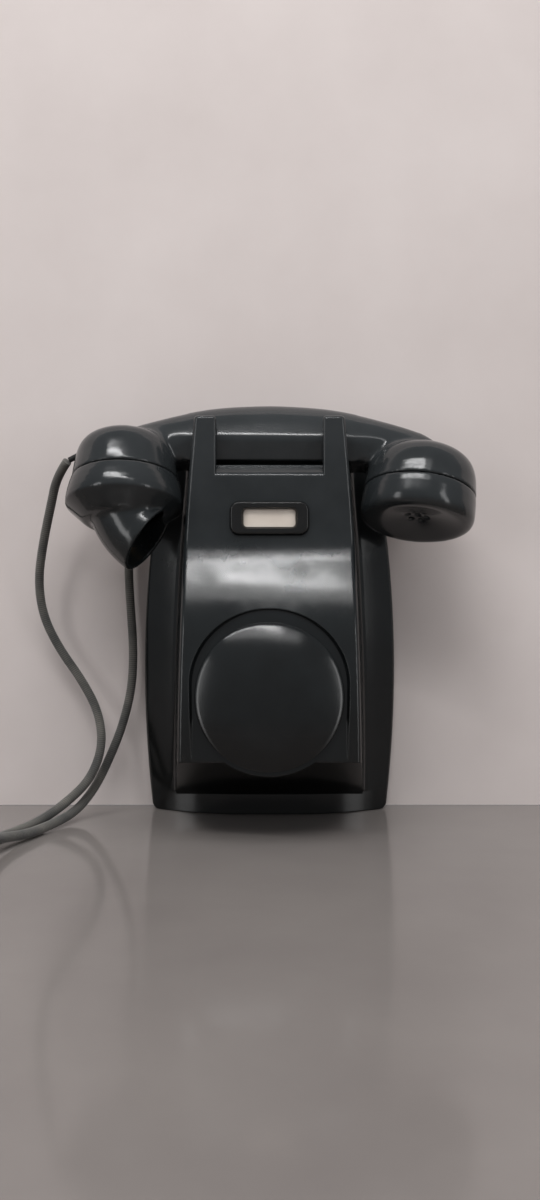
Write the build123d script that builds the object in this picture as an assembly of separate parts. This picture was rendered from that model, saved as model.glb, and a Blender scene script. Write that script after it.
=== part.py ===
from build123d import *
import math
import os

# Wall telephone with a blank dial. Millimetres, +X to the right, +Z up, the
# wall is the plane Y = 0 and the front faces -Y. The origin is the centre of
# the four wall screw holes. Depths are measured from the wall and heights
# from the bottom edge of the case.

# driving dimensions
BOTTOM_Z = -110.0
CASE_H = 214.0
CASE_HALF_W = 76.0
CASE_WIDEST_H = 81.0
CASE_FOOT_HALF_W = 70.5
CASE_TOP_HALF_W = 58.5
CASE_WALL = 3.0
FOOT_CORNER_R = 5.0
PAN_RADIUS = 147.0
PAN_DEPTH = 26.0
FLARE_RADIUS = 6.0
TOWER_DRAFT = 0.112
TOWER_HALF_W = (50.7, 48.9, 40.5)
TOWER_SECTION_H = (-5.0, 120.0, 236.0)
TOWER_TOP_D = 58.0
CREASE_D = 89.5
CREASE_H = 42.0
APRON_D = 24.0
APRON_H = 12.0
PRONG_H = 227.6
PRONG_REAR_D = 51.5
PRONG_GAP = 59.0
PRONG_EDGE_R = 1.5
PRONG_TOP_R = 2.2
LIP_H = 201.0
LIP_SLOPE_FOOT = (56.3, 196.6)
LIP_ROUND_MID = (57.5, 195.1)
LIP_ROUND_END = (58.0, 193.2)
CRADLE_H = 196.2
CRADLE_REAR_D = 22.0
SCREW_X = 38.0
SCREW_D = 9.0
CORD_ENTRY_H = 176.0
CORD_ENTRY_D = 7.0

WALL_HOLE_X = 80.0
WALL_HOLE_Z = 130.0
WALL_HOLE_R = 2.5
PLATE_T = 2.0

DIAL_D = 83.5
DIAL_H = 75.5
DIAL_TILT = 10.5
DIAL_R = 39.0
DIAL_EDGE = 3.0
DIAL_CROWN = 6.7
DIAL_HOLE_R = 30.0
STUD_RING = 24.0
ARCH_HALF_W = 40.2
ARCH_RISE = 5.7
ARCH_BEVEL = 20.0

CARD_H = 170.7
FRAME_W = 43.0
FRAME_HT = 18.0
FRAME_BACK_D = 57.8
FRAME_FRONT_D = 61.0
WINDOW_W = 27.6
WINDOW_HT = 8.8

HANDSET_X = 1.4
HANDSET_D = 36.0
HANDSET_H = 217.5
HANDSET_TILT = 16.6
HANDSET_ROLL = 0.5
RECEIVER_X = 87.8
RECEIVER_CANT = 7.8
TRANSMITTER_X = -83.0
TRANSMITTER_Z = 1.3
TRANSMITTER_CANT = -1.0
RECEIVER_SEAM_Z = -33.5
TRANSMITTER_SEAM_Z = -27.8
SEAM_GAP = 0.4
RECEIVER_R = 31.8
TRANSMITTER_R = 32.7
FACE_Z = -51.5
CAP_EDGE_Z = -43.4
HORN_R = 20.5
HORN_BEND = 38.0
HORN_SHIFT = -1.5
HORN_Z = -32.0
HORN_FOOT_Z = -53.0
HORN_TURN = 54.0
HORN_WALL = 2.5
SPIGOT_RISE = 6.0
SPIGOT_R = 26.0
SPIGOT_BORE = 24.4
NECK_X = -27.6
NECK_Z = -11.5
NECK_DROP = 30.0

CORD_R = 2.6
COIL_X = -170.0
COIL_D = 133.0
COIL_INNER_R = 23.4
COIL_PITCH = 5.9
COIL_LIFT = 1.7
QUARTERS_IN = 6
QUARTERS_OUT = 7
LEAD = 13.0

PLUNGER_X = 34.0
PLUNGER_R = 3.4
PLUNGER_TOP_H = 199.2
BAR_H = 184.0
PIVOT_D = 24.0
HOOK_PIVOT_H = 186.5

GONG_X = 25.0
GONG_H = 46.0
GONG_R = 18.5
RINGER_D = 34.0
PIVOT_H = 68.0

os.makedirs("parts", exist_ok=True)
made = {}


def save(name, shape):
    solids = shape.solids() if hasattr(shape, "solids") else [shape]
    made[name] = solids
    good = all(s.is_valid for s in solids)
    volume = sum(s.volume for s in solids)
    print(f"{name}: {len(solids)} solid(s), valid {good}, {volume:.0f} mm3")
    whole = solids[0] if len(solids) == 1 else Compound(children=list(solids))
    export_step(whole, f"parts/{name}.step")


def at(x, depth, height):
    return (x, -depth, BOTTOM_Z + height)


def block(x0, x1, d0, d1, h0, h1):
    middle = at((x0 + x1) / 2, (d0 + d1) / 2, (h0 + h1) / 2)
    return Pos(*middle) * Box(abs(x1 - x0), abs(d1 - d0), abs(h1 - h0))


def rod_deep(x, height, d0, d1, radius):
    middle = at(x, (d0 + d1) / 2, height)
    return Pos(*middle) * Rot(90, 0, 0) * Cylinder(radius, abs(d1 - d0))


def rod_up(x, depth, h0, h1, radius):
    middle = at(x, depth, (h0 + h1) / 2)
    return Pos(*middle) * Cylinder(radius, abs(h1 - h0))


def rod_across(depth, height, x0, x1, radius):
    middle = at((x0 + x1) / 2, depth, height)
    return Pos(*middle) * Rot(0, 90, 0) * Cylinder(radius, abs(x1 - x0))


def turned(points):
    # a solid of revolution about the upright axis, from (radius, z) points
    with BuildSketch(Plane.XZ) as section:
        with BuildLine():
            Polyline(*points, close=True)
        make_face()
    return revolve(section.sketch, Axis.Z)


# case: plan sections lofted upwards, cut by the side profile and the outline
def plan_section(height, half_w, inset):
    # tower with drafted sides, small coves at their roots, and the bowed pan behind
    back = PAN_RADIUS - PAN_DEPTH
    pan = PAN_RADIUS - inset
    cove = FLARE_RADIUS + inset
    lean = math.atan(TOWER_DRAFT)
    front = 100.0
    rear = -6.0
    out_x = math.cos(lean)
    out_y = math.sin(lean)
    root_x = half_w + TOWER_DRAFT * TOWER_TOP_D - inset * out_x
    root_y = -inset * out_y
    # the cove's centre lies a cove's radius off the side line and off the pan
    cx = 0.0
    cy = 20.0
    for _ in range(60):
        cx = root_x + cove * out_x - TOWER_DRAFT * (cy - root_y - cove * out_y)
        cy = math.sqrt((pan + cove) ** 2 - cx**2) - back
    side_x = cx - cove * out_x
    side_y = cy - cove * out_y
    front_x = side_x - TOWER_DRAFT * (front - side_y)
    touch_x = cx * pan / (pan + cove)
    touch_y = (cy + back) * pan / (pan + cove) - back
    from_side = math.pi + lean
    from_pan = math.pi + math.atan2(cy + back, cx)
    bend = (from_side + from_pan) / 2
    bend_x = cx + cove * math.cos(bend)
    bend_y = cy + cove * math.sin(bend)
    edge_x = 82.0
    edge_y = math.sqrt(pan**2 - edge_x**2) - back
    half = (math.atan2(edge_y + back, edge_x) + math.atan2(touch_y + back, touch_x)) / 2
    pan_x = pan * math.cos(half)
    pan_y = pan * math.sin(half) - back
    with BuildSketch(Plane.XY.offset(BOTTOM_Z + height)) as section:
        with BuildLine():
            Line((-front_x, -front), (front_x, -front))
            Line((front_x, -front), (side_x, -side_y))
            ThreePointArc((side_x, -side_y), (bend_x, -bend_y), (touch_x, -touch_y))
            ThreePointArc((touch_x, -touch_y), (pan_x, -pan_y), (edge_x, -edge_y))
            Polyline((edge_x, -edge_y), (edge_x, -rear), (-edge_x, -rear), (-edge_x, -edge_y))
            ThreePointArc((-edge_x, -edge_y), (-pan_x, -pan_y), (-touch_x, -touch_y))
            ThreePointArc((-touch_x, -touch_y), (-bend_x, -bend_y), (-side_x, -side_y))
            Line((-side_x, -side_y), (-front_x, -front))
        make_face()
    return section.sketch


def plan_solid(inset):
    pairs = zip(TOWER_SECTION_H, TOWER_HALF_W)
    return loft([plan_section(h, w, inset) for h, w in pairs])


def outline_solid(inset, bottom, top_h, corner=0):
    low = BOTTOM_Z + bottom
    wide = BOTTOM_Z + CASE_WIDEST_H
    top = BOTTOM_Z + top_h
    foot_w = CASE_FOOT_HALF_W - inset
    wide_w = CASE_HALF_W - inset
    top_w = CASE_TOP_HALF_W - inset
    with BuildSketch(Plane.XZ.offset(-8)) as section:
        with BuildLine():
            ThreePointArc((foot_w, low), (wide_w, wide), (top_w, top))
            Line((top_w, top), (-top_w, top))
            ThreePointArc((-top_w, top), (-wide_w, wide), (-foot_w, low))
            Line((-foot_w, low), (foot_w, low))
        make_face()
        if corner:
            fillet(section.vertices().sort_by(Axis.Y)[:2], corner)
    return extrude(section.sketch, 112)


def side_point(depth, height):
    return (-depth, BOTTOM_Z + height)


def profile_solid(start, front, rest, half_w):
    low = [side_point(*p) for p in start]
    face = [side_point(*p) for p in front]
    high = [side_point(*p) for p in rest]
    with BuildSketch(Plane.YZ.offset(-half_w)) as section:
        with BuildLine():
            Polyline(*low, face[0])
            Spline(*face, tangents=[(0.02, 1), (0, 1)])
            Polyline(face[-1], *high, low[0])
        make_face()
    return extrude(section.sketch, 2 * half_w)


OUTER_FRONT = [
    (CREASE_D, CREASE_H),
    (88.8, 60),
    (86.5, 85),
    (79.0, 114),
    (68.2, 138.5),
    (60.8, 154),
    (TOWER_TOP_D, 174),
]
INNER_FRONT = [
    (86.5, 43.9),
    (85.8, 60),
    (83.5, 85),
    (76.2, 113),
    (65.5, 137),
    (57.9, 152.3),
    (TOWER_TOP_D - CASE_WALL, 173),
]
outer_profile = profile_solid(
    [(0, 0), (APRON_D, 0), (APRON_D, APRON_H)],
    OUTER_FRONT,
    [
        (TOWER_TOP_D, PRONG_H),
        (PRONG_REAR_D, PRONG_H),
        (PRONG_REAR_D, LIP_H),
        (PRONG_REAR_D - 2.5, CRADLE_H),
        (CRADLE_REAR_D, CRADLE_H),
        (CRADLE_REAR_D, CASE_H),
        (0, CASE_H),
    ],
    90,
)
inner_profile = profile_solid(
    [(-6, 3), (APRON_D - CASE_WALL, 3), (APRON_D - CASE_WALL, 13.9)],
    INNER_FRONT,
    [
        (TOWER_TOP_D - CASE_WALL, CRADLE_H - CASE_WALL),
        (CRADLE_REAR_D - CASE_WALL, CRADLE_H - CASE_WALL),
        (CRADLE_REAR_D - CASE_WALL, CASE_H - CASE_WALL),
        (-6, CASE_H - CASE_WALL),
    ],
    90,
)
outer = plan_solid(0) & outer_profile & outline_solid(0, 0, 235)
inner = plan_solid(CASE_WALL) & inner_profile & outline_solid(CASE_WALL, 0, 235)


def pan_bow(inset, top_h):
    # the bowed pan alone, without the tower, up to a height
    back = PAN_RADIUS - PAN_DEPTH
    drum = Pos(0, back, BOTTOM_Z + top_h / 2 - 5) * Cylinder(PAN_RADIUS - inset, top_h + 10)
    return block(-62, 62, 0, 100, -10, top_h) - drum


outer = outer - pan_bow(0, APRON_H)
inner = inner - pan_bow(CASE_WALL, APRON_H + CASE_WALL)
notch = block(-PRONG_GAP / 2, PRONG_GAP / 2, 45, 70, LIP_H, 240)
outer = outer - notch


tower_edges = []
for side in (-1, 1):
    tower_edges += [e for e in outer.edges() if 130 < e.length < 140 and e.center().X * side > 30]
    tower_edges += [
        e
        for e in outer.edges()
        if 50 < e.length < 60 and e.center().X * side > 40 and e.center().Y < -57
    ]
outer = fillet(tower_edges, 2.6)


def on_side(point):
    return (-point[0], BOTTOM_Z + point[1])


# the lip between the prongs: a sloping top that rolls over into the front
with BuildSketch(Plane.YZ.offset(-PRONG_GAP / 2)) as lip_section:
    with BuildLine():
        Line(on_side((PRONG_REAR_D, LIP_H)), on_side(LIP_SLOPE_FOOT))
        ThreePointArc(on_side(LIP_SLOPE_FOOT), on_side(LIP_ROUND_MID), on_side(LIP_ROUND_END))
        Polyline(
            on_side(LIP_ROUND_END),
            on_side((TOWER_TOP_D + 4, LIP_ROUND_END[1])),
            on_side((TOWER_TOP_D + 4, LIP_H + 4)),
            on_side((PRONG_REAR_D, LIP_H + 4)),
            on_side((PRONG_REAR_D, LIP_H)),
        )
    make_face()
outer = outer - extrude(lip_section.sketch, PRONG_GAP)
rim_edges = [
    e
    for e in outer.edges()
    if 210 < e.length < 220 and abs(e.center().X) > 60 and e.center().Y < -3
]
outer = fillet(rim_edges, 3.0)
prong_inner_edges = [
    e
    for e in outer.edges()
    if abs(abs(e.center().X) - PRONG_GAP / 2) < 0.3 and e.length > 30 and e.center().Y < -55
]
outer = fillet(prong_inner_edges, PRONG_EDGE_R)
prong_tops = [e for e in outer.edges() if abs(e.center().Z - BOTTOM_Z - PRONG_H) < 0.1]
outer = fillet(prong_tops, PRONG_TOP_R)
outer = outer & outline_solid(0, 0, 235, FOOT_CORNER_R)

case = outer - inner

# dial seat: a flat tilted floor with a bevelled arch round it
normal = (0, -math.cos(math.radians(DIAL_TILT)), math.sin(math.radians(DIAL_TILT)))
dial_plane = Plane(origin=at(0, DIAL_D, DIAL_H), x_dir=(1, 0, 0), z_dir=normal)


def arch(half_w, foot):
    with BuildSketch() as section:
        with BuildLine():
            ThreePointArc((half_w, ARCH_RISE), (0, ARCH_RISE + half_w), (-half_w, ARCH_RISE))
            Polyline((-half_w, ARCH_RISE), (-half_w, foot), (half_w, foot), (half_w, ARCH_RISE))
        make_face()
    return section.sketch


def on_dial(shape):
    return dial_plane.location * shape


seat = extrude(arch(44.0, -25.0), -5) + Pos(0, 0, -5) * extrude(Circle(41.3), 5)
case = case + on_dial(seat)
case = case - on_dial(extrude(arch(ARCH_HALF_W, -48.0), 18, taper=-ARCH_BEVEL))
case = case - on_dial(Pos(0, 0, -4) * Cylinder(DIAL_HOLE_R, 30))


def frame_plate(width, height, d0, d1, corner):
    with BuildSketch(Plane.XZ.offset(d0)) as section:
        with Locations((0, BOTTOM_Z + CARD_H)):
            RectangleRounded(width, height, corner)
    return extrude(section.sketch, d1 - d0)


case = case - frame_plate(FRAME_W + 0.4, FRAME_HT + 0.4, FRAME_BACK_D - 0.1, 70, 5.2)

# cradle holes for the plungers, the cord hole on the left and the screw holes
for side in (-1, 1):
    case = case - rod_up(side * PLUNGER_X, HANDSET_D, 190, 205, PLUNGER_R + 0.4)
case = case - rod_across(CORD_ENTRY_D, CORD_ENTRY_H, -80, -55, 4.4)
for side in (-1, 1):
    case = case - rod_up(side * SCREW_X, SCREW_D, -1, 4, 2.1)
    case = case - rod_up(side * SCREW_X, SCREW_D, -1, 1.6, 4.1)
save("case_shell", case)

# dial blank
dome_r = (DIAL_R**2 + DIAL_CROWN**2) / (2 * DIAL_CROWN)
sag_mid = math.sqrt(dome_r**2 - (DIAL_R / 2) ** 2) - (dome_r - DIAL_CROWN)
with BuildSketch(Plane.XZ) as blank_section:
    with BuildLine():
        Polyline((0, DIAL_EDGE + DIAL_CROWN - 2.4), (0, DIAL_EDGE + DIAL_CROWN))
        ThreePointArc(
            (0, DIAL_EDGE + DIAL_CROWN), (DIAL_R / 2, DIAL_EDGE + sag_mid), (DIAL_R, DIAL_EDGE)
        )
        Polyline((DIAL_R, DIAL_EDGE), (DIAL_R, 0), (35.5, 0), (35.5, 1.4))
        ThreePointArc(
            (35.5, 1.4),
            (DIAL_R / 2, DIAL_EDGE + sag_mid - 2.4),
            (0, DIAL_EDGE + DIAL_CROWN - 2.4),
        )
    make_face()
blank = revolve(blank_section.sketch, Axis.Z)
stud_spots = [
    (STUD_RING * math.cos(math.radians(a)), STUD_RING * math.sin(math.radians(a)))
    for a in (90, 210, 330)
]
for x, y in stud_spots:
    blank = blank + Pos(x, y, 0.5) * Cylinder(3.0, 11.4)
for x, y in stud_spots:
    blank = blank - Pos(x, y, -3.2) * Cylinder(1.3, 6.0)
save("dial_blank", on_dial(blank))

ring = Pos(0, 0, -6.4) * (Cylinder(31.8, 2.2) - Cylinder(18.0, 3.0))
for x, y in stud_spots:
    ring = ring - Pos(x, y, -6.4) * Cylinder(1.6, 4.0)
save("dial_blank_ring", on_dial(ring))
ring_screws = [
    Pos(x, y, -8.4) * Cylinder(2.7, 1.6) + Pos(x, y, -5.3) * Cylinder(1.2, 4.6)
    for x, y in stud_spots
]
save("dial_blank_screws", Compound(children=[on_dial(s) for s in ring_screws]))

# number card
frame = frame_plate(FRAME_W, FRAME_HT, FRAME_BACK_D, FRAME_FRONT_D, 5.0)
front_edges = frame.faces().sort_by(Axis.Y)[0].edges()
frame = fillet(front_edges, 1.2)
frame = frame - frame_plate(33.4, 12.4, FRAME_BACK_D - 1, FRAME_BACK_D + 1.6, 1.0)
with BuildSketch(Plane.XZ.offset(FRAME_BACK_D + 1.0)) as opening:
    with Locations((0, BOTTOM_Z + CARD_H)):
        RectangleRounded(WINDOW_W, WINDOW_HT, 1.6)
frame = frame - extrude(opening.sketch, 4.0, taper=-35)
save("number_card_frame", frame)
save("number_card", frame_plate(33, 12, FRAME_BACK_D + 0.1, FRAME_BACK_D + 0.4, 0.8))
save("card_window", frame_plate(33, 12, FRAME_BACK_D + 0.5, FRAME_BACK_D + 1.4, 0.8))

# base plate with its screw tabs
plate = outline_solid(CASE_WALL + 0.6, 0, 235) & block(-80, 80, 0, PLATE_T, 3.6, CASE_H - 4)
for sx in (-1, 1):
    for sz in (-1, 1):
        spot = (sx * WALL_HOLE_X / 2, sz * WALL_HOLE_Z / 2 - BOTTOM_Z)
        plate = plate - rod_deep(*spot, -1, 5, WALL_HOLE_R)
plate = plate - rod_deep(-30, 35, -1, 5, 6.0)
for side in (-1, 1):
    tab = block(side * SCREW_X - 6, side * SCREW_X + 6, 0, 15, 3.6, 5.6)
    plate = plate + (tab - rod_up(side * SCREW_X, SCREW_D, 3, 7, 1.75))
save("base_plate", plate)
cover_screws = [
    rod_up(s * SCREW_X, SCREW_D, 0.1, 1.5, 3.8) + rod_up(s * SCREW_X, SCREW_D, 1.4, 9.5, 1.7)
    for s in (-1, 1)
]
save("case_screws", Compound(children=cover_screws))

# ringer: gongs at the bottom, coils above, clapper between
gongs = []
posts = []
gong_screws = []
for side in (-1, 1):
    cup = turned([(2.2, 0), (8, 0), (15, -3), (GONG_R, -9), (GONG_R, -10.5),
                  (17.2, -10.5), (17.0, -9), (14, -4.4), (8, -1.6), (2.2, -1.6)])
    cup = Rot(90, 0, 0) * cup
    gongs.append(Pos(*at(side * GONG_X, 40, GONG_H)) * cup)
    posts.append(rod_deep(side * GONG_X, GONG_H, PLATE_T, 38.3, 4.0))
    head = rod_deep(side * GONG_X, GONG_H, 40.1, 42, 4.2)
    shank = rod_deep(side * GONG_X, GONG_H, 38.4, 40.2, 2.0)
    gong_screws.append(head + shank)
save("bell_gongs", Compound(children=gongs))
save("gong_posts", Compound(children=posts))
save("gong_screws", Compound(children=gong_screws))

frame_back = block(-25, 25, 22, 24, 60, 112)
for x in (-18, 18):
    frame_back = frame_back + rod_deep(x, 104, PLATE_T, 22.5, 3.0)
frame_back = frame_back - rod_deep(0, PIVOT_H, 20, 26, 1.6)
save("ringer_frame", frame_back)
save("ringer_yoke", block(-25, 25, 24.1, 44, 106, 111))
cores = [rod_up(s * 14, RINGER_D, 74, 105.9, 4.0) for s in (-1, 1)]
save("ringer_cores", Compound(children=cores))
coils = []
for side in (-1, 1):
    spool = rod_up(side * 14, RINGER_D, 77, 79, 9.5) + rod_up(side * 14, RINGER_D, 103, 105, 9.5)
    spool = spool + rod_up(side * 14, RINGER_D, 78.5, 103.5, 8.6)
    coils.append(spool - rod_up(side * 14, RINGER_D, 70, 108, 4.1))
save("ringer_coils", Compound(children=coils))
save("ringer_magnet", block(-24, 24, 14, 21.8, 62, 68))
save("armature_pin", rod_deep(0, PIVOT_H, 22, 44, 1.5))
armature = block(-21, 21, 28, 40, PIVOT_H - 2, PIVOT_H + 2) + rod_deep(0, PIVOT_H, 26, 42, 3.4)
armature = armature + rod_up(0, RINGER_D, GONG_H, PIVOT_H, 1.0)
armature = armature + Pos(*at(0, RINGER_D, GONG_H)) * Sphere(4.0)
armature = armature - rod_deep(0, PIVOT_H, 20, 50, 1.55)
save("clapper_armature", armature)

# speech parts on the base plate
core = block(-34, -12, 4, 24, 122, 158) - block(-30, -26, 2, 26, 128, 152)
core = core - block(-20, -16, 2, 26, 128, 152)
save("induction_core", core)
winding = block(-29.8, -16.2, 2.1, 27, 128.4, 151.6) - block(-26.2, -19.8, 3.8, 24.2, 120, 160)
save("induction_coil", winding)
can = fillet(block(8, 36, 2.1, 26, 120, 160).edges().filter_by(Axis.Z), 4.0)
save("capacitor", can)
strap = block(4, 40, 2.05, 27.5, 136, 144) - block(7.8, 36.2, 0, 26.2, 130, 150)
save("capacitor_strap", strap)
strip = block(-34, 34, 2.1, 12, 166, 180)
for k in range(6):
    strip = strip - rod_deep(-27.5 + 11 * k, 173, 6, 14, 1.6)
save("terminal_block", strip)
terminals = [
    rod_deep(-27.5 + 11 * k, 173, 12.1, 14, 3.2) + rod_deep(-27.5 + 11 * k, 173, 7, 12.2, 1.5)
    for k in range(6)
]
save("terminal_screws", Compound(children=terminals))

# hook switch under the cradle
bar = block(-PLUNGER_X - 4, PLUNGER_X + 4, HANDSET_D - 4, HANDSET_D + 4, BAR_H, BAR_H + 3)
for side in (-1, 1):
    pin = rod_up(side * PLUNGER_X, HANDSET_D, BAR_H + 2, PLUNGER_TOP_H, PLUNGER_R)
    bar = bar + fillet(pin.edges().sort_by(Axis.Z)[-1:], 1.2)
save("hook_plungers", bar)
bracket = block(-16, 16, 2.1, 4.1, 183, 195) + block(-16, -14, 2.1, 36, 183, 190)
bracket = bracket + block(14, 16, 2.1, 30, 183, 190)
bracket = bracket & block(-16, 16, 2, 30, 183, 195)
bracket = bracket - rod_across(PIVOT_D, HOOK_PIVOT_H, -20, 20, 1.25)
save("hook_bracket", bracket)
save("hook_pivot_pin", rod_across(PIVOT_D, HOOK_PIVOT_H, -17.5, 17.5, 1.2))
lever = rod_across(PIVOT_D, HOOK_PIVOT_H, -12.5, 12.5, 3.0)
lever = lever + block(-12, 12, 24, 29.5, 182.2, 184.2) + block(-12, 12, 26, 41, 180.4, 182.4)
lever = lever + block(-12, 12, 27.5, 29.5, 180.4, 184.2)
lever = lever - rod_across(PIVOT_D, HOOK_PIVOT_H, -20, 20, 1.27)
save("hook_lever", lever)
save("contact_block", block(20, 32, 2.1, 16, 183.5, 194.5))
leaves = [block(22, 30, 16.1, 30, 185 + 3 * k, 185.4 + 3 * k) for k in range(3)]
save("contact_springs", Compound(children=leaves))
save("hook_return_spring", block(-6, 6, 4.2, 19.5, 184.5, 185.0))

# cord entry on the left
bush = rod_across(CORD_ENTRY_D, CORD_ENTRY_H, -73.5, -66, 4.2)
bush = bush + rod_across(CORD_ENTRY_D, CORD_ENTRY_H, -74.5, -71.6, 5.0)
bush = bush - rod_across(CORD_ENTRY_D, CORD_ENTRY_H, -80, -60, CORD_R + 0.15)
bush = bush - case
save("cord_grommet", bush)
clamp = block(-52, -44, 2.1, 12, 170, 182) - rod_across(CORD_ENTRY_D, CORD_ENTRY_H, -60, -40, 2.75)
save("cord_clamp", clamp)


# handset, modelled level at its own centre and then set in the cradle
def in_cradle(shape):
    place = Pos(*at(HANDSET_X, HANDSET_D, HANDSET_H))
    return place * Rot(0, HANDSET_ROLL, 0) * Rot(-HANDSET_TILT, 0, 0) * shape


def handle_section(x, half_w, ridge, top, foot, foot_w):
    rise = top - ridge
    shoulder = (half_w * math.sqrt(0.5), ridge + rise * math.sqrt(0.5))
    with BuildSketch(Plane.YZ.offset(x)) as section:
        with BuildLine():
            Spline(
                (-half_w, ridge),
                (-shoulder[0], shoulder[1]),
                (0, top),
                shoulder,
                (half_w, ridge),
                tangents=[(0.15, 1), (0.15, -1)],
            )
            Polyline((half_w, ridge), (foot_w, foot), (-foot_w, foot), (-half_w, ridge))
        make_face()
    return section.sketch


def at_receiver(shape):
    return Pos(RECEIVER_X, 0, 0) * Rot(0, RECEIVER_CANT, 0) * shape


def at_transmitter(shape):
    return Pos(TRANSMITTER_X, 0, TRANSMITTER_Z) * Rot(0, TRANSMITTER_CANT, 0) * shape


HANDLE = [
    (93, 8.0, -9.0, -1.5, -14.0, 6.0),
    (80, 11.5, -8.5, 6.0, -17.0, 8.0),
    (66, 13.0, -6.8, 10.4, -17.2, 8.4),
    (50, 13.6, -5.4, 15.0, -16.6, 8.2),
    (28, 13.8, -5.0, 19.2, -16.2, 8.0),
    (0, 13.8, -5.0, 20.8, -16.2, 8.0),
]
stations = [(-x, *rest) for x, *rest in HANDLE[:-1]] + [HANDLE[-1]]
stations += [(x, *rest) for x, *rest in HANDLE[-2::-1]]
handle = loft([handle_section(*s) for s in stations])


RECEIVER_DOME = [(0, -4), (10, -5.4), (18, -8.2), (24, -11.6), (28, -15.8), (30.5, -23), (31.5, -33.5)]
TRANSMITTER_DOME = [(0, 1.4), (10, 0.6), (18, -1.9), (24, -5.5), (27.2, -10.6), (28.8, -18.2), (30, -27.8)]


def housing(points):
    # a domed cup turned from one smooth curve that runs from the crown to the seam
    seam = points[-1][1]
    with BuildSketch(Plane.XZ) as section:
        with BuildLine():
            Spline(*points, tangents=[(1, 0), (0.1, -1)])
            Polyline(points[-1], (0, seam), points[0])
        make_face()
    return revolve(section.sketch, Axis.Z)


def cup_room(seam, capsule_top):
    # stepped room: the cap's spigot, the capsule, its contact strips and the wires
    spigot_top = seam + SPIGOT_RISE + 0.5
    room = Pos(0, 0, (spigot_top + seam - 1.0) / 2) * Cylinder(SPIGOT_R + 0.2, spigot_top - seam + 1.0)
    deep = capsule_top - seam + 2.0
    room = room + Pos(0, 0, seam + deep / 2) * Cylinder(SPIGOT_BORE, deep)
    room = room + Pos(0, 0, -18.5) * Cylinder(14.5, 6.0)
    return room + Pos(0, 0, -12.0) * Cylinder(7.0, 8.0)


shell = handle + at_receiver(housing(RECEIVER_DOME)) + at_transmitter(housing(TRANSMITTER_DOME))
shell = shell - at_receiver(cup_room(RECEIVER_SEAM_Z, -23.0))
shell = shell - at_transmitter(cup_room(TRANSMITTER_SEAM_Z, -22.0))
shell = shell - Pos(0, 0, -8.0) * Rot(0, 90, 0) * Cylinder(2.6, RECEIVER_X - TRANSMITTER_X - 6)
neck_axis = Pos(NECK_X, 0, NECK_Z) * Rot(0, -90 - NECK_DROP, 0)
shell = shell - at_transmitter(neck_axis * Cylinder(1.75, 16.0))
save("handset_shell", in_cradle(shell))
neck = in_cradle(at_transmitter(neck_axis * Pos(0, 0, 0.5) * Cylinder(1.6, 11.0)))
save("handset_cord_neck", neck)

cap_top = RECEIVER_SEAM_Z - SEAM_GAP
spigot_top = RECEIVER_SEAM_Z + SPIGOT_RISE
receiver = turned(
    [
        (SPIGOT_BORE, spigot_top),
        (SPIGOT_R, spigot_top),
        (SPIGOT_R, cap_top),
        (RECEIVER_R - 0.4, cap_top),
        (RECEIVER_R, cap_top - 5.5),
        (RECEIVER_R, FACE_Z + 4.0),
        (RECEIVER_R - 1.2, FACE_Z + 1.2),
        (RECEIVER_R - 4.0, FACE_Z),
        (RECEIVER_R - 7.0, FACE_Z + 0.4),
        (0, FACE_Z + 6.5),
        (0, FACE_Z + 9.0),
        (SPIGOT_BORE, FACE_Z + 4.8),
    ]
)
for k in range(6):
    a = math.radians(60 * k)
    receiver = receiver - Pos(5.5 * math.cos(a), 5.5 * math.sin(a), FACE_Z + 6) * Cylinder(1.3, 12)
receiver = receiver - Pos(0, 0, FACE_Z + 6) * Cylinder(1.3, 12)
save("receiver_cap", in_cradle(at_receiver(receiver)))
save("receiver_capsule", in_cradle(at_receiver(Pos(0, 0, -29.5) * Cylinder(23.8, 13.0))))

cap_top = TRANSMITTER_SEAM_Z - SEAM_GAP
spigot_top = TRANSMITTER_SEAM_Z + SPIGOT_RISE
cap = turned(
    [
        (0, spigot_top),
        (SPIGOT_R, spigot_top),
        (SPIGOT_R, cap_top),
        (TRANSMITTER_R - 2.5, cap_top),
        (TRANSMITTER_R - 1.3, cap_top - 4.2),
        (TRANSMITTER_R - 0.5, cap_top - 8.2),
        (TRANSMITTER_R, CAP_EDGE_Z + 3.4),
        (TRANSMITTER_R, CAP_EDGE_Z),
        (TRANSMITTER_R - 1.6, CAP_EDGE_Z - 1.6),
        (HORN_R + 2.0, HORN_FOOT_Z),
        (0, HORN_FOOT_Z),
    ]
)


def horn(radius):
    hinge = Axis((HORN_SHIFT + HORN_BEND, 0, HORN_Z), (0, -1, 0))
    mouth_ring = Plane.XY.offset(HORN_Z) * Pos(HORN_SHIFT, 0, 0) * Circle(radius)
    return revolve(mouth_ring, hinge, HORN_TURN)


cap = cap + horn(HORN_R)
hollow = turned(
    [
        (0, spigot_top + 1),
        (SPIGOT_BORE, spigot_top + 1),
        (SPIGOT_BORE, -42.0),
        (HORN_R - HORN_WALL - 1.0, HORN_FOOT_Z + 4.0),
        (0, HORN_FOOT_Z + 4.0),
    ]
)
cap = cap - hollow - horn(HORN_R - HORN_WALL)
save("transmitter_cap", in_cradle(at_transmitter(cap)))
save("transmitter_capsule", in_cradle(at_transmitter(Pos(0, 0, -31.0) * Cylinder(23.8, 12.0))))
strips = []
for seat_end in (at_receiver, at_transmitter):
    for y in (-8, 8):
        strips.append(in_cradle(seat_end(Pos(0, y, -19.0) * Box(16, 4, 0.5))))
save("capsule_contacts", Compound(children=strips))


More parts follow.
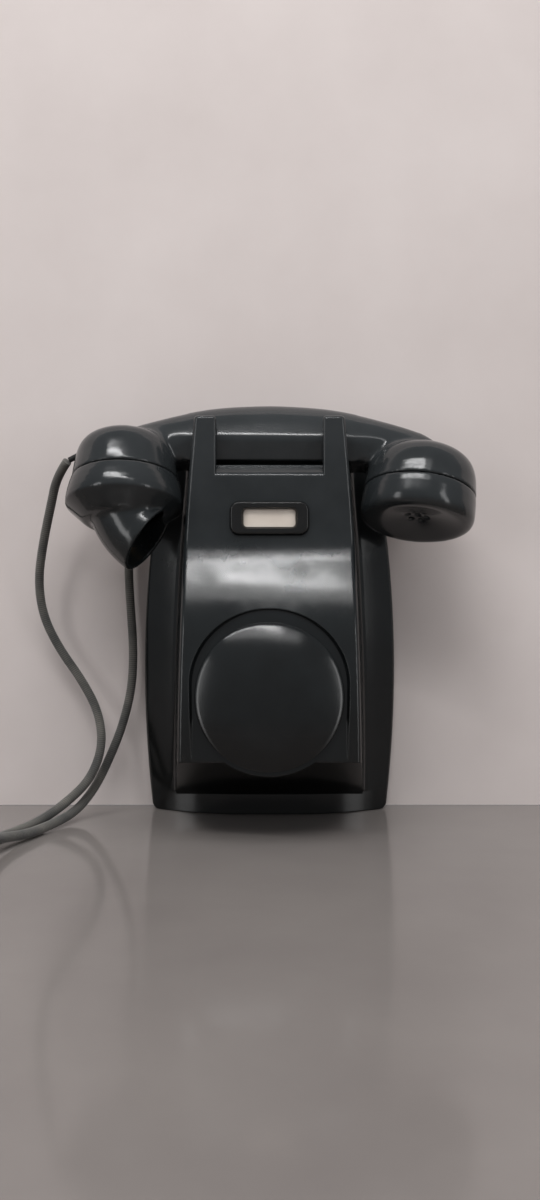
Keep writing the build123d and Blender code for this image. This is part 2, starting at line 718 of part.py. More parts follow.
# cord: two free stretches and the wound length between them
def bend_radii(points):
    radii = []
    for a, b, c in zip(points, points[1:], points[2:]):
        into = Vector(*b) - Vector(*a)
        out = Vector(*c) - Vector(*b)
        turn = math.radians(into.get_angle(out))
        run = min(into.length, out.length)
        radii.append(0.45 * run / math.tan(turn / 2))
    return radii


def tube(name, points):
    radii = bend_radii(points)
    print(name, "bend radii", " ".join(f"{r:.0f}" for r in radii))
    path = FilletPolyline(*points, radius=radii)
    start = Plane(origin=path @ 0, z_dir=path % 0)
    body = sweep(start * Circle(CORD_R), path=path)
    share = body.volume / (math.pi * CORD_R**2 * path.length)
    print(f"{name}: length {path.length:.0f} mm, volume share {share:.3f}")
    save(name, body)
    return path.length


def arc_middle(start, heading, end):
    chord = end - start
    along = chord.normalized()
    out = heading - along * heading.dot(along)
    if out.length < 1e-6:
        return start + chord * 0.5
    angle = math.acos(max(-1.0, min(1.0, heading.dot(along))))
    return start + chord * 0.5 + out.normalized() * (chord.length / 2 * math.tan(angle / 2))


COIL_LOW = CORD_R + COIL_LIFT
COIL_HIGH = COIL_LOW + COIL_PITCH
STEP = COIL_PITCH / 4


def coil_path():
    # quarter turns; the angle runs from the wall side over the left to the front
    spot = Vector(*at(COIL_X, COIL_D - COIL_INNER_R - STEP * QUARTERS_IN, COIL_LOW))
    heading = Vector(-1, 0, 0)
    nodes = [spot]
    headings = [heading]
    radii = [COIL_INNER_R + STEP * (QUARTERS_IN - k) for k in range(QUARTERS_IN)]
    rises = [0.0] * QUARTERS_IN
    radii += [COIL_INNER_R, COIL_INNER_R]
    rises += [COIL_PITCH / 2, COIL_PITCH / 2]
    radii += [COIL_INNER_R + STEP * (k + 1) for k in range(QUARTERS_OUT)]
    rises += [0.0] * QUARTERS_OUT
    flat = heading
    for radius, rise in zip(radii, rises):
        left = Vector(-flat.Y, flat.X, 0)
        reach = math.sqrt(radius**2 + rise**2) if rise else radius
        nodes.append(nodes[-1] + flat * reach + left * radius + Vector(0, 0, rise))
        flat = left
        headings.append(flat)
    return nodes, headings, rises


nodes, headings, rises = coil_path()
pieces = []
lead_in = nodes[0] - headings[0] * 2 * CORD_R
lead_out = nodes[-1] + headings[-1] * 2 * CORD_R
pieces.append(Edge.make_line(lead_in, nodes[0]))
heading = headings[0]
samples = [lead_in]
for a, b, rise in zip(nodes, nodes[1:], rises):
    middle = arc_middle(a, heading, b)
    arc = Edge.make_three_point_arc(a, middle, b)
    pieces.append(arc)
    heading = arc % 1
    samples += [arc @ (k / 24) for k in range(24)]
pieces.append(Edge.make_line(nodes[-1], lead_out))
samples.append(lead_out)
winding_path = Wire(pieces)
least = min(
    (samples[i] - samples[j]).length
    for i in range(len(samples))
    for j in range(i + 14, len(samples))
)
print(f"coil: {len(rises) / 4:.2f} turns, length {winding_path.length:.0f} mm")
print(f"coil: least gap to itself {least - 2 * CORD_R:.2f} mm")
coil_start = Plane(origin=lead_in, z_dir=headings[0])
coil = sweep(coil_start * Circle(CORD_R), path=winding_path)
print(f"coil: volume share {coil.volume / (math.pi * CORD_R**2 * winding_path.length):.3f}")
save("handset_cord_coil", coil)

TABLE = CORD_R
UPPER_ROUTE = [
    (-115.3, 39.5, 204.8),
    (-122.4, 34.2, 197.0),
    (-127.4, 27.2, 182.0),
    (-133.5, 20.5, 161.0),
    (-138.2, 15.0, 138.0),
    (-136.2, 11.0, 116.0),
    (-126.5, 9.5, 96.0),
    (-112.5, 10.5, 77.0),
    (-102.0, 13.5, 58.0),
    (-98.5, 21.0, 39.0),
    (-103.5, 32.0, 22.0),
    (-115.0, 43.0, 11.0),
    (-126.6, 57.0, TABLE + 1.2),
    (-135.6, 76.0, TABLE),
    (-142.8, 92.6, TABLE + 0.2),
]
LOWER_ROUTE = [
    (-134.8, 100.0, TABLE + 3.4),
    (-127.2, 81.0, TABLE + 0.3),
    (-118.6, 59.0, TABLE + 0.4),
    (-110.6, 39.5, 5.0),
    (-102.6, 24.6, 15.0),
    (-95.2, 14.4, 32.0),
    (-88.2, 9.6, 51.0),
    (-83.0, 7.6, 74.0),
    (-82.4, 7.2, 98.0),
    (-84.2, 7.0, 122.0),
    (-85.4, 7.0, 143.0),
    (-85.0, 7.0, 158.0),
    (-82.0, 7.0, 168.0),
    (-77.0, 7.0, 174.4),
]
approach = [lead_in - headings[0] * LEAD, lead_in]
leaving = [lead_out, lead_out + headings[-1] * LEAD]
upper = [at(*p) for p in UPPER_ROUTE] + [tuple(p) for p in approach]
lower = [tuple(p) for p in leaving] + [at(*p) for p in LOWER_ROUTE]
upper_length = tube("handset_cord_upper", upper)
lower_length = tube("handset_cord_lower", lower)
total = upper_length + lower_length + winding_path.length
print(f"cord: {total:.0f} mm in all")

# tie round the wound length, at its left side
strands = [p.X for p, way in zip(nodes, headings) if way.Y < -0.9]
tie_x = (min(strands) + max(strands)) / 2
tie_w = max(strands) - min(strands) + 2 * CORD_R + 1.0
tie_h = COIL_PITCH + 2 * CORD_R + 1.0
tie_t = 1.1
tie_spot = Pos(*at(tie_x, COIL_D, COIL_LOW + COIL_PITCH / 2))
outer_tie = tie_spot * Box(tie_w + 2 * tie_t, 5.0, tie_h + 2 * tie_t)
inner_tie = tie_spot * Box(tie_w, 6.0, tie_h)
outer_tie = fillet(outer_tie.edges().filter_by(Axis.Y), 3.0)
inner_tie = fillet(inner_tie.edges().filter_by(Axis.Y), 2.0)
save("cord_tie", outer_tie - inner_tie)

print(len(made), "nodes")
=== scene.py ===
import math

import bmesh
import bpy
from mathutils import Matrix, Vector


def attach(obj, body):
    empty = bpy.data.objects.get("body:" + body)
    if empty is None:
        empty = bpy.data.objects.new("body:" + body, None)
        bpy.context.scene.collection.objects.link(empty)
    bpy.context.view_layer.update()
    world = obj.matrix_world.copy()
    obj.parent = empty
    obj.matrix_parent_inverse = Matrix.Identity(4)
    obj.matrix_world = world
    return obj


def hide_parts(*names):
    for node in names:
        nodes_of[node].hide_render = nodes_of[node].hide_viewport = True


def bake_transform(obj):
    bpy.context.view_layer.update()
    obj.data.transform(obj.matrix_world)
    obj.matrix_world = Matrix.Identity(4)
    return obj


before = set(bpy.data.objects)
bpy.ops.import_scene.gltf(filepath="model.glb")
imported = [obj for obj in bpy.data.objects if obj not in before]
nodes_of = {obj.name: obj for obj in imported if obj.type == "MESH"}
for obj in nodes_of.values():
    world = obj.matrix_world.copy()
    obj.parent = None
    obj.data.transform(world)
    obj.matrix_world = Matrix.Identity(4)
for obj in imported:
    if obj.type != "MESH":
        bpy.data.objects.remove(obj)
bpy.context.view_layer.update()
scene = bpy.context.scene
scene.view_settings.view_transform = "Standard"

FLOOR_Z = -0.110
CORD_R = 0.0026
LENS = 27.18
SENSOR_W = 36.0
CAMERA_PLACE = (0.0003, -0.556, 0.0158)


def at(x, depth, height):
    """A point in metres, from millimetres sideways, out of the wall and up from the floor."""
    return Vector((x / 1000, -depth / 1000, FLOOR_Z + height / 1000))


def make_camera():
    data = bpy.data.cameras.new("photo_camera")
    data.lens = LENS
    data.sensor_width = SENSOR_W
    data.clip_start = 0.01
    camera = bpy.data.objects.new("photo_camera", data)
    camera.location = CAMERA_PLACE
    camera.rotation_euler = (math.radians(90), 0, 0)
    scene.collection.objects.link(camera)
    scene.camera = camera


make_camera()


class Shader:
    """A Principled material whose sockets are set or fed by a few short calls."""

    def __init__(self, name):
        self.material = bpy.data.materials.new(name)
        self.material.use_nodes = True
        self.tree = self.material.node_tree
        self.bsdf = self.tree.nodes["Principled BSDF"]

    def node(self, kind, **values):
        made = self.tree.nodes.new(kind)
        for key, value in values.items():
            setattr(made, key, value)
        return made

    def link(self, source, target):
        self.tree.links.new(source, target)

    def set(self, **values):
        for key, value in values.items():
            self.bsdf.inputs[key.replace("_", " ")].default_value = value
        return self

    def place(self, scale=(1, 1, 1), space="Object"):
        coords = self.node("ShaderNodeTexCoord")
        mapping = self.node("ShaderNodeMapping")
        mapping.inputs["Scale"].default_value = scale
        self.link(coords.outputs[space], mapping.inputs["Vector"])
        return mapping.outputs["Vector"]

    def noise(self, scale, detail=4.0, rough=0.55, stretch=(1, 1, 1), space="Object"):
        made = self.node("ShaderNodeTexNoise")
        made.inputs["Scale"].default_value = scale
        made.inputs["Detail"].default_value = detail
        made.inputs["Roughness"].default_value = rough
        self.link(self.place(stretch, space), made.inputs["Vector"])
        return made.outputs["Fac"]

    def ramp(self, source, *stops):
        made = self.node("ShaderNodeValToRGB")
        elements = made.color_ramp.elements
        while len(elements) < len(stops):
            elements.new(0.5)
        for element, (place, colour) in zip(elements, stops):
            element.position = place
            element.color = (*colour, 1.0)
        self.link(source, made.inputs["Fac"])
        return made.outputs["Color"]

    def span(self, source, low, high, start=0.0, stop=1.0):
        made = self.node("ShaderNodeMapRange")
        made.inputs["From Min"].default_value = start
        made.inputs["From Max"].default_value = stop
        made.inputs["To Min"].default_value = low
        made.inputs["To Max"].default_value = high
        self.link(source, made.inputs["Value"])
        return made.outputs["Result"]

    def math(self, operation, a, b=None):
        made = self.node("ShaderNodeMath", operation=operation)
        for socket, value in zip(made.inputs, (a, b)):
            if value is None:
                continue
            if isinstance(value, (int, float)):
                socket.default_value = value
            else:
                self.link(value, socket)
        return made.outputs["Value"]

    def multiply(self, a, b):
        """One colour multiplied by another."""
        made = self.node("ShaderNodeMix", data_type="RGBA", blend_type="MULTIPLY")
        factor, first, second = [k for k in made.inputs if k.enabled]
        factor.default_value = 1.0
        self.link(a, first)
        self.link(b, second)
        return [k for k in made.outputs if k.enabled][0]

    def worn_edges(self, radius):
        """Shading normals rounded off along sharp edges, as a moulding's or a casting's are."""
        made = self.node("ShaderNodeBevel", samples=6)
        made.inputs["Radius"].default_value = radius
        return made.outputs["Normal"]

    def bump(self, height, distance, strength=1.0, under=None):
        made = self.node("ShaderNodeBump")
        made.inputs["Distance"].default_value = distance
        made.inputs["Strength"].default_value = strength
        self.link(height, made.inputs["Height"])
        if under is not None:
            self.link(under, made.inputs["Normal"])
        return made.outputs["Normal"]


def bakelite():
    """Black moulding with painted light: lighter towards the top as a painted highlight and darker low
    down as painted shade, over a random mottle.
    """
    s = Shader("black_bakelite")
    parts = s.node("ShaderNodeSeparateXYZ")
    s.link(s.place(), parts.inputs["Vector"])
    # painted light: the colour grows lighter with height as a painted highlight and darker low down as
    # painted shade; the noise adds a random mottle
    height = s.span(parts.outputs["Z"], 0.0, 1.0, -0.06, 0.12)
    painted_light_and_mottle = s.math("ADD", height, s.span(s.noise(38, 6), -0.12, 0.12, 0.3, 0.7))
    painted_light_tone = s.ramp(
        painted_light_and_mottle,
        (0.0, (0.0036, 0.0038, 0.0038)),
        (0.5, (0.0100, 0.0122, 0.0132)),
        (1.0, (0.0275, 0.0306, 0.0326)),
    )
    s.link(painted_light_tone, s.bsdf.inputs["Base Color"])
    haze = s.span(s.noise(24, 6), 0.118, 0.178, 0.3, 0.7)
    rub = s.span(s.noise(700, 2, 0.5, (1, 1, 0.06)), 0.0, 0.05, 0.58, 0.80)
    s.link(s.math("ADD", haze, rub), s.bsdf.inputs["Roughness"])
    swell = s.bump(s.noise(110, 2), 0.00005, 0.4, s.worn_edges(0.0009))
    s.link(s.bump(s.noise(1500, 3), 0.000006, 0.3, swell), s.bsdf.inputs["Normal"])
    return s.material


def metal(name, low, high, rough, metallic=1.0):
    s = Shader(name)
    s.set(Metallic=metallic)
    s.link(s.ramp(s.noise(120, 5), (0.3, low), (0.7, high)), s.bsdf.inputs["Base Color"])
    s.link(s.span(s.noise(260, 4), rough - 0.08, rough + 0.10, 0.3, 0.7), s.bsdf.inputs["Roughness"])
    s.link(s.bump(s.noise(900, 2, 0.5, (1, 1, 0.15)), 0.00002, 0.4), s.bsdf.inputs["Normal"])
    return s.material


def dull(name, low, high, rough, grain=700, depth=0.00004):
    s = Shader(name)
    s.link(s.ramp(s.noise(90, 6), (0.3, low), (0.7, high)), s.bsdf.inputs["Base Color"])
    s.link(s.span(s.noise(300, 3), rough - 0.06, rough + 0.08, 0.3, 0.7), s.bsdf.inputs["Roughness"])
    s.link(s.bump(s.noise(grain, 4), depth, 0.5), s.bsdf.inputs["Normal"])
    return s.material


STRANDS_ROUND = 12
STRANDS_PER_M = 420


def braid():
    """Two sets of strands crossing round the cord, read from the distance and angle of its UV map."""
    s = Shader("braided_cotton")
    coords = s.node("ShaderNodeUVMap", uv_map="sheath")
    parts = s.node("ShaderNodeSeparateXYZ")
    s.link(coords.outputs["UV"], parts.inputs["Vector"])
    turn = s.math("MULTIPLY", parts.outputs["X"], math.tau * STRANDS_ROUND)
    run = s.math("MULTIPLY", parts.outputs["Y"], math.tau * STRANDS_PER_M)
    one = s.math("SINE", s.math("ADD", turn, run))
    two = s.math("SINE", s.math("SUBTRACT", turn, run))
    weave = s.math("MULTIPLY", one, two)
    plait = s.span(weave, 0.0, 1.0, -1.0, 1.0)
    threads = s.noise(2600, 3)
    # painted shade: the base colour is darker in the grooves between the strands and lighter on their
    # crowns, on top of one thread colour
    base = s.ramp(
        plait,
        (0.1, (0.050, 0.050, 0.048)),
        (0.55, (0.110, 0.108, 0.104)),
        (0.95, (0.190, 0.186, 0.178)),
    )
    worn = s.ramp(s.noise(60, 5), (0.35, (0.5, 0.5, 0.5)), (0.75, (1.25, 1.2, 1.1)))
    s.link(s.multiply(base, worn), s.bsdf.inputs["Base Color"])
    s.set(Sheen_Weight=0.25, Sheen_Roughness=0.5)
    s.link(s.span(threads, 0.70, 0.92), s.bsdf.inputs["Roughness"])
    ridge = s.bump(plait, 0.00010, 0.7)
    s.link(s.bump(threads, 0.00005, 0.6, ridge), s.bsdf.inputs["Normal"])
    return s.material


def paper():
    s = Shader("number_card_paper")
    fade = s.ramp(s.noise(70, 5), (0.3, (0.72, 0.62, 0.53)), (0.7, (0.82, 0.73, 0.64)))
    s.link(fade, s.bsdf.inputs["Base Color"])
    s.link(s.span(s.noise(900, 3), 0.75, 0.95), s.bsdf.inputs["Roughness"])
    s.link(s.bump(s.noise(2400, 3), 0.00003, 0.5), s.bsdf.inputs["Normal"])
    return s.material


def celluloid():
    s = Shader("clear_window")
    s.set(Base_Color=(0.90, 0.88, 0.84, 1.0), IOR=1.49, Alpha=0.12)
    s.link(s.span(s.noise(90, 5), 0.06, 0.18, 0.35, 0.75), s.bsdf.inputs["Roughness"])
    s.link(s.bump(s.noise(60, 2), 0.00005, 0.3), s.bsdf.inputs["Normal"])
    return s.material


BAKELITE = bakelite()
BRAID = braid()
STEEL = metal("bright_steel", (0.42, 0.42, 0.43), (0.58, 0.58, 0.58), 0.30)
NICKEL = metal("nickel_plate", (0.48, 0.46, 0.43), (0.62, 0.60, 0.56), 0.24)
BRASS = metal("brass", (0.45, 0.30, 0.10), (0.60, 0.42, 0.17), 0.32)
BLACK_IRON = metal("japanned_iron", (0.015, 0.015, 0.015), (0.030, 0.030, 0.030), 0.45, 0.2)
COPPER = metal("enamelled_copper", (0.30, 0.12, 0.05), (0.42, 0.18, 0.08), 0.35, 0.8)
ZINC = metal("zinc_plated_steel", (0.30, 0.30, 0.30), (0.44, 0.44, 0.43), 0.42)
FIBRE = dull("brown_fibre", (0.05, 0.022, 0.012), (0.09, 0.04, 0.022), 0.55)
RUBBER = dull("black_rubber", (0.010, 0.010, 0.010), (0.022, 0.021, 0.020), 0.70)
ENAMEL = dull("black_enamel", (0.006, 0.006, 0.006), (0.010, 0.010, 0.010), 0.20, 300, 0.00001)
COTTON_TIE = dull("cotton_tape", (0.030, 0.028, 0.026), (0.055, 0.052, 0.048), 0.85, 1800, 0.00008)

MATERIALS = {
    BAKELITE: "case_shell dial_blank handset_shell receiver_cap transmitter_cap hook_plungers",
    BLACK_IRON: "base_plate dial_blank_ring hook_bracket ringer_frame capacitor_strap",
    STEEL: "hook_pivot_pin hook_return_spring armature_pin gong_posts clapper_armature induction_core",
    NICKEL: "bell_gongs case_screws gong_screws dial_blank_screws contact_springs capsule_contacts",
    ZINC: "hook_lever ringer_yoke ringer_cores ringer_magnet capacitor cord_clamp",
    BRASS: "terminal_screws receiver_capsule transmitter_capsule",
    COPPER: "ringer_coils induction_coil",
    FIBRE: "contact_block terminal_block",
    RUBBER: "cord_grommet handset_cord_neck",
    ENAMEL: "number_card_frame",
    COTTON_TIE: "cord_tie",
    paper(): "number_card",
    celluloid(): "card_window",
}
for material, names in MATERIALS.items():
    for name in names.split():
        node = nodes_of[name]
        node.data.materials.clear()
        node.data.materials.append(material)

COIL_X = -170.0
COIL_D = 133.0
COIL_INNER_R = 23.4
COIL_PITCH = 5.9
COIL_LOW = 4.3
QUARTERS_IN = 6
QUARTERS_CLIMB = 2
QUARTERS_OUT = 7
LEAD = 18.2
LEAD_IN = 5.2
CORNERS = 3
UPPER_ROUTE = [
    (-115.3, 39.5, 204.8),
    (-122.4, 34.2, 197.0),
    (-127.4, 27.2, 182.0),
    (-133.5, 20.5, 161.0),
    (-138.2, 15.0, 138.0),
    (-136.2, 11.0, 116.0),
    (-126.5, 9.5, 96.0),
    (-112.5, 10.5, 77.0),
    (-102.0, 13.5, 58.0),
    (-98.5, 21.0, 39.0),
    (-103.5, 32.0, 22.0),
    (-115.0, 43.0, 11.0),
    (-126.6, 57.0, 3.8),
    (-135.6, 76.0, 2.6),
    (-142.8, 92.6, 2.8),
]
LOWER_ROUTE = [
    (-134.8, 100.0, 6.0),
    (-127.2, 81.0, 2.9),
    (-118.6, 59.0, 3.0),
    (-110.6, 39.5, 5.0),
    (-102.6, 24.6, 15.0),
    (-95.2, 14.4, 32.0),
    (-88.2, 9.6, 51.0),
    (-83.0, 7.6, 74.0),
    (-82.4, 7.2, 98.0),
    (-84.2, 7.0, 122.0),
    (-85.4, 7.0, 143.0),
    (-85.0, 7.0, 158.0),
    (-82.0, 7.0, 168.0),
    (-77.0, 7.0, 174.4),
]


def coil_points():
    """The wound length: quarter turns of three tangent corners, in two flat layers, in then out."""
    step = COIL_PITCH / 4
    radii = [COIL_INNER_R + step * (QUARTERS_IN - k) for k in range(QUARTERS_IN)]
    radii += [COIL_INNER_R] * QUARTERS_CLIMB
    radii += [COIL_INNER_R + step * (k + 1) for k in range(QUARTERS_OUT)]
    climb = [COIL_PITCH / QUARTERS_CLIMB] * QUARTERS_CLIMB
    rises = [0.0] * QUARTERS_IN + climb + [0.0] * QUARTERS_OUT
    spot = Vector((COIL_X, -(COIL_D - COIL_INNER_R - step * QUARTERS_IN), COIL_LOW))
    ahead = Vector((-1, 0, 0))
    points = [spot - ahead * LEAD, spot - ahead * LEAD_IN]
    turn_step = 90 / CORNERS
    reach = math.tan(math.radians(turn_step / 2))
    for radius, rise in zip(radii, rises):
        left = Vector((-ahead.y, ahead.x, 0))
        centre = spot + left * radius
        for k in range(CORNERS):
            turn = Matrix.Rotation(math.radians(turn_step * k), 3, "Z")
            touch = centre + turn @ (spot - centre)
            corner = touch + (turn @ ahead) * radius * reach
            corner.z = spot.z + rise * (k + 0.5) / CORNERS
            points.append(corner)
        spot = centre + ahead * radius + Vector((0, 0, rise))
        ahead = left
    points += [spot + ahead * LEAD_IN, spot + ahead * LEAD]
    return [Vector((p.x / 1000, p.y / 1000, FLOOR_Z + p.z / 1000)) for p in points]


def evaluated_mesh(made):
    """A new mesh of an object as its modifiers or curve settings leave it."""
    bpy.context.view_layer.update()
    return bpy.data.meshes.new_from_object(made.evaluated_get(bpy.context.evaluated_depsgraph_get()))


def smooth_line(points, resolution=10):
    """Points along the NURBS line that has these control points."""
    data = bpy.data.curves.new("route", "CURVE")
    data.dimensions = "3D"
    spline = data.splines.new("NURBS")
    spline.points.add(len(points) - 1)
    for target, point in zip(spline.points, points):
        target.co = (*point, 1.0)
    spline.order_u = 3
    spline.use_endpoint_u = True
    spline.resolution_u = resolution
    holder = bpy.data.objects.new("route", data)
    scene.collection.objects.link(holder)
    mesh = evaluated_mesh(holder)
    line = [v.co.copy() for v in mesh.vertices]
    bpy.data.meshes.remove(mesh)
    bpy.data.objects.remove(holder)
    bpy.data.curves.remove(data)
    return line


def add_object(name, mesh, material):
    made = bpy.data.objects.new(name, mesh)
    mesh.materials.append(material)
    scene.collection.objects.link(made)
    return made


def tube(name, line, radius, material, sides=14):
    """A round tube along a line, with the distance along it and the angle round it as its UV map."""
    mesh = bpy.data.meshes.new(name)
    verts = []
    runs = [0.0]
    for a, b in zip(line, line[1:]):
        runs.append(runs[-1] + (b - a).length)
    before = line[:1] + line[:-2] + line[-2:-1]
    after = line[1:2] + line[2:] + line[-1:]
    ways = [(b - a).normalized() for a, b in zip(before, after)]
    side = ways[0].orthogonal().normalized()
    for point, way in zip(line, ways):
        side = (side - way * side.dot(way)).normalized()
        other = way.cross(side)
        for k in range(sides):
            angle = math.tau * k / sides
            verts.append(point + (side * math.cos(angle) + other * math.sin(angle)) * radius)
    faces = []
    uvs = []
    for ring in range(len(line) - 1):
        here = ring * sides
        there = here + sides
        for k in range(sides):
            n = (k + 1) % sides
            faces.append((here + k, here + n, there + n, there + k))
            for u, r in ((k, ring), (k + 1, ring), (k + 1, ring + 1), (k, ring + 1)):
                uvs.append((u / sides, runs[r]))
    last = (len(line) - 1) * sides
    for cap in (range(sides - 1, -1, -1), range(last, last + sides)):
        faces.append(tuple(cap))
        uvs += [(0.0, 0.0)] * sides
    mesh.from_pydata(verts, [], faces)
    layer = mesh.uv_layers.new(name="sheath")
    layer.data.foreach_set("uv", [v for pair in uvs for v in pair])
    mesh.polygons.foreach_set("use_smooth", [len(f) == 4 for f in faces])
    mesh.update()
    return add_object(name, mesh, material)


route = [at(*p) for p in UPPER_ROUTE] + coil_points() + [at(*p) for p in LOWER_ROUTE]
line = smooth_line(route)
cord = tube("handset_cord", line, CORD_R, BRAID)
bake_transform(cord)
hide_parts("handset_cord_upper", "handset_cord_coil", "handset_cord_lower")


HANDSET_AT = (1.4, 36.0, 217.5)
HANDSET_ROLL = 0.5
HANDSET_TILT = 16.6
HANDSET_PLACE = (
    Matrix.Translation(at(*HANDSET_AT))
    @ Matrix.Rotation(math.radians(HANDSET_ROLL), 4, "Y")
    @ Matrix.Rotation(math.radians(-HANDSET_TILT), 4, "X")
)
WELD_REACH = 0.00001


def welded_copy(name, node, material):
    """A copy of a CAD node in one material, with the seams between its faces welded by a modifier."""
    mesh = nodes_of[node].data.copy()
    mesh.materials.clear()
    made = add_object(name, mesh, material)
    weld = made.modifiers.new("weld", "WELD")
    weld.merge_threshold = WELD_REACH
    return made


def settle(made):
    """Turns an object's modifiers into its mesh."""
    rough = made.data
    made.data = evaluated_mesh(made)
    made.modifiers.clear()
    bpy.data.meshes.remove(rough)


ALL_AXES = {"use_axis_x": True, "use_axis_y": True, "use_axis_z": True}


def softened(name, node, voxel, zones, material):
    """A copy of a moulding with its joints run together, as a pressed shape's are.
    Each zone is a test of a point in the handset's own frame, in millimetres, and a number of
    smoothing passes."""
    made = welded_copy(name, node, material)
    remesh = made.modifiers.new("remesh", "REMESH")
    remesh.mode = "VOXEL"
    remesh.voxel_size = voxel
    settle(made)
    fine = made.data
    form = bmesh.new()
    form.from_mesh(fine)
    back = HANDSET_PLACE.inverted()
    local = {v: (back @ v.co) * 1000 for v in form.verts}
    for chosen, passes in zones:
        some = [v for v, p in local.items() if chosen(p)]
        for _ in range(passes):
            bmesh.ops.smooth_vert(form, verts=some, factor=0.5, **ALL_AXES)
    form.to_mesh(fine)
    form.free()
    fine.polygons.foreach_set("use_smooth", [True] * len(fine.polygons))
    fine.update()
    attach(made, "handset")
    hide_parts(node)


def whole(p):
    return True


def near_receiver(p):
    return 48 < p.x < 84 and p.z > -24


def near_transmitter(p):
    return -80 < p.x < -48 and p.z > -24


def handle_ridge(p):
    return abs(p.x) < 70 and abs(p.y) > 8 and -11 < p.z < 4


MOUTH_X = -68.8
MOUTH_Z = -61.4
MOUTH_WAY = (0.809, -0.588)
RECEIVER_X = 87.8
RECEIVER_CANT = math.radians(7.8)


def horn_root(p):
    """The horn's foot, well behind the plane of its mouth."""
    past_mouth = (p.x - MOUTH_X) * MOUTH_WAY[0] + (p.z - MOUTH_Z) * MOUTH_WAY[1]
    return p.z < -45.0 and past_mouth < -4.0


def receiver_rim(p):
    """The outer edge of the earpiece, in the frame of the canted cup."""
    out = p.x - RECEIVER_X
    x = out * math.cos(RECEIVER_CANT) - p.z * math.sin(RECEIVER_CANT)
    z = out * math.sin(RECEIVER_CANT) + p.z * math.cos(RECEIVER_CANT)
    return math.hypot(x, p.y) > 22 and z < -38.5


VOXEL = 0.0007
softened(
    "handset_moulding",
    "handset_shell",
    VOXEL,
    [(near_receiver, 45), (near_transmitter, 45), (handle_ridge, 30), (whole, 2)],
    BAKELITE,
)
softened("mouthpiece_moulding", "transmitter_cap", VOXEL, [(horn_root, 30), (whole, 1)], BAKELITE)
softened("earpiece_moulding", "receiver_cap", VOXEL, [(receiver_rim, 40), (whole, 1)], BAKELITE)


def lathe(name, profile, place, material, sides=144):
    """A turned piece: (radius, height) points in millimetres, spun round the axis of a place."""
    form = bmesh.new()
    rings = []
    turns = [math.tau * k / sides for k in range(sides)]
    for radius, height in profile:
        if radius == 0:
            points = [Vector((0, 0, height))]
        else:
            points = [Vector((radius * math.cos(a), radius * math.sin(a), height)) for a in turns]
        rings.append([form.verts.new(point / 1000) for point in points])
    for low, high in zip(rings, rings[1:]):
        for k in range(sides):
            n = k + 1
            corners = [low[k % len(low)], low[n % len(low)], high[n % len(high)], high[k % len(high)]]
            form.faces.new(list(dict.fromkeys(corners)))
    bmesh.ops.recalc_face_normals(form, faces=form.faces)
    bmesh.ops.transform(form, matrix=place, verts=form.verts)
    mesh = bpy.data.meshes.new(name)
    form.to_mesh(mesh)
    form.free()
    mesh.polygons.foreach_set("use_smooth", [True] * len(mesh.polygons))
    return add_object(name, mesh, material)


def bevelled(name, node, width, material):
    """A copy of a CAD node with its sharp edges rolled over by a small radius."""
    made = welded_copy(name, node, material)
    roll = made.modifiers.new("roll", "BEVEL")
    roll.width = width
    roll.segments = 3
    roll.limit_method = "ANGLE"
    roll.angle_limit = math.radians(40)
    settle(made)
    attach(made, "base")
    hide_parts(node)


bevelled("card_frame", "number_card_frame", 0.0007, ENAMEL)

DIAL_AT = (0, 83.5, 75.5)
DIAL_TILT = 10.5
DIAL_R = 39.0
DIAL_EDGE = 3.0
DIAL_CROWN = 6.7
DIAL_SKIN = 2.4
DOME_SHARE = 0.985
DOME_STEPS = 24
INNER_SHARE = 0.9
DIAL_RIM = [
    (38.75, 2.95),
    (38.95, 2.75),
    (39.0, 2.4),
    (39.0, 1.2),
    (39.0, 0.25),
    (38.85, 0.05),
    (38.6, 0.0),
    (36.0, 0.0),
    (35.5, 0.2),
    (35.5, 1.2),
]
dial_turn = Matrix.Rotation(math.radians(90 - DIAL_TILT), 4, "X")
dial_place = Matrix.Translation(at(*DIAL_AT)) @ dial_turn
dome_r = (DIAL_R**2 + DIAL_CROWN**2) / (2 * DIAL_CROWN)


def dome_height(radius):
    return DIAL_EDGE + math.sqrt(dome_r**2 - radius**2) - (dome_r - DIAL_CROWN)


steps = [DIAL_R * DOME_SHARE * k / DOME_STEPS for k in range(DOME_STEPS + 1)]
outside = [(r, dome_height(r)) for r in steps]
inside = [(r * INNER_SHARE, dome_height(r) - DIAL_SKIN) for r in reversed(steps)]
cover = outside + DIAL_RIM + inside
dial_cover = lathe("dial_cover", cover, dial_place, BAKELITE)
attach(dial_cover, "base")
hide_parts("dial_blank")


def plain(name, panels, material):
    """A flat piece of the stage: each panel is a list of four corners."""
    mesh = bpy.data.meshes.new(name)
    corners = [c for panel in panels for c in panel]
    faces = [tuple(range(4 * k, 4 * k + 4)) for k in range(len(panels))]
    mesh.from_pydata(corners, [], faces)
    add_object(name, mesh, material)


def stage_material(name, low, high, rough, one_sided):
    s = Shader(name)
    s.link(s.ramp(s.noise(9, 5), (0.3, low), (0.7, high)), s.bsdf.inputs["Base Color"])
    s.set(Roughness=rough, Specular_IOR_Level=0.5)
    if one_sided:
        output = s.tree.nodes["Material Output"]
        facing = s.node("ShaderNodeNewGeometry")
        clear = s.node("ShaderNodeBsdfTransparent")
        choice = s.node("ShaderNodeMixShader")
        s.link(facing.outputs["Backfacing"], choice.inputs["Fac"])
        s.link(s.bsdf.outputs["BSDF"], choice.inputs[1])
        s.link(clear.outputs["BSDF"], choice.inputs[2])
        s.link(choice.outputs["Shader"], output.inputs["Surface"])
    return s.material


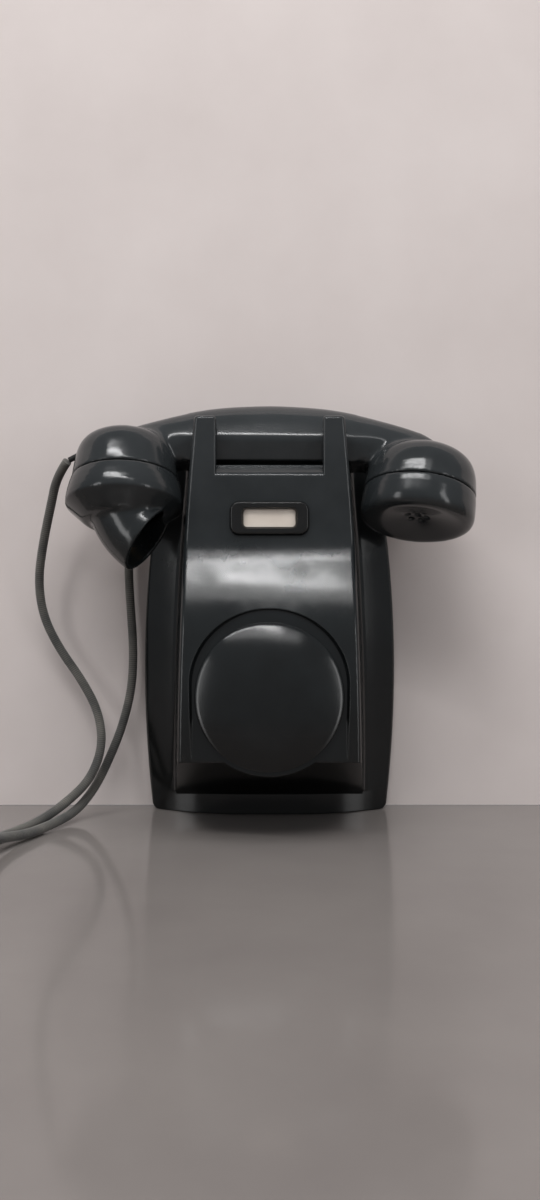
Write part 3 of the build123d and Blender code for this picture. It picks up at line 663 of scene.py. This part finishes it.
WALL = stage_material("pale_wall", (0.62, 0.555, 0.535), (0.68, 0.615, 0.595), 0.8, True)
TABLE_TOP = stage_material("pale_table", (0.170, 0.153, 0.146), (0.200, 0.182, 0.172), 0.12, False)
WALL_Y = 0.0006
STAGE_REACH = 3
HOLE_X0, HOLE_X1 = -0.064, 0.064
HOLE_Z0, HOLE_Z1 = -0.1075, 0.098


def wall_panel(x0, x1, z0, z1):
    return [(x0, WALL_Y, z0), (x1, WALL_Y, z0), (x1, WALL_Y, z1), (x0, WALL_Y, z1)]


# the wall is left open behind the case, so that the back plate is lit from behind
wall_panels = [
    wall_panel(-STAGE_REACH, HOLE_X0, FLOOR_Z, STAGE_REACH),
    wall_panel(HOLE_X1, STAGE_REACH, FLOOR_Z, STAGE_REACH),
    wall_panel(HOLE_X0, HOLE_X1, FLOOR_Z, HOLE_Z0),
    wall_panel(HOLE_X0, HOLE_X1, HOLE_Z1, STAGE_REACH),
]
plain("wall", wall_panels, WALL)
TABLE_Z = FLOOR_Z - 0.0003
table_corners = [
    (side_x * STAGE_REACH, side_y * STAGE_REACH, TABLE_Z)
    for side_x, side_y in ((-1, -1), (1, -1), (1, 1), (-1, 1))
]
plain("table", [table_corners], TABLE_TOP)


def lamp(name, place, target, size, power, in_gloss=True):
    data = bpy.data.lights.new(name, "AREA")
    data.shape = "RECTANGLE"
    data.size, data.size_y = size
    data.energy = power
    made = bpy.data.objects.new(name, data)
    made.location = place
    made.rotation_euler = (Vector(target) - Vector(place)).to_track_quat("-Z", "Y").to_euler()
    made.visible_glossy = in_gloss
    scene.collection.objects.link(made)


lamp("ceiling_light", (-0.30, -0.835, 1.228), (-0.05, -0.05, 0.03), (0.98, 0.030), 4.8)
lamp("ceiling_glow", (-0.10, -0.96, 1.11), (0, -0.05, 0.03), (1.1, 0.16), 1.6)
lamp("overhead_soft", (0.05, -0.78, 1.75), (0, -0.10, 0.0), (2.4, 1.3), 32, False)
lamp("left_strip", (-1.0, -0.95, 0.15), (0, -0.03, 0.02), (0.25, 1.3), 3.4)
lamp("right_strip", (1.0, -0.95, 0.15), (0, -0.03, 0.02), (0.25, 1.3), 3.0)

ROOM_COLOUR = (0.95, 0.97, 1.0, 1.0)
ROOM_STRENGTH = 0.26
world = bpy.data.worlds.new("room")
world.use_nodes = True
background = world.node_tree.nodes["Background"]
background.inputs["Color"].default_value = ROOM_COLOUR
background.inputs["Strength"].default_value = ROOM_STRENGTH
scene.world = world
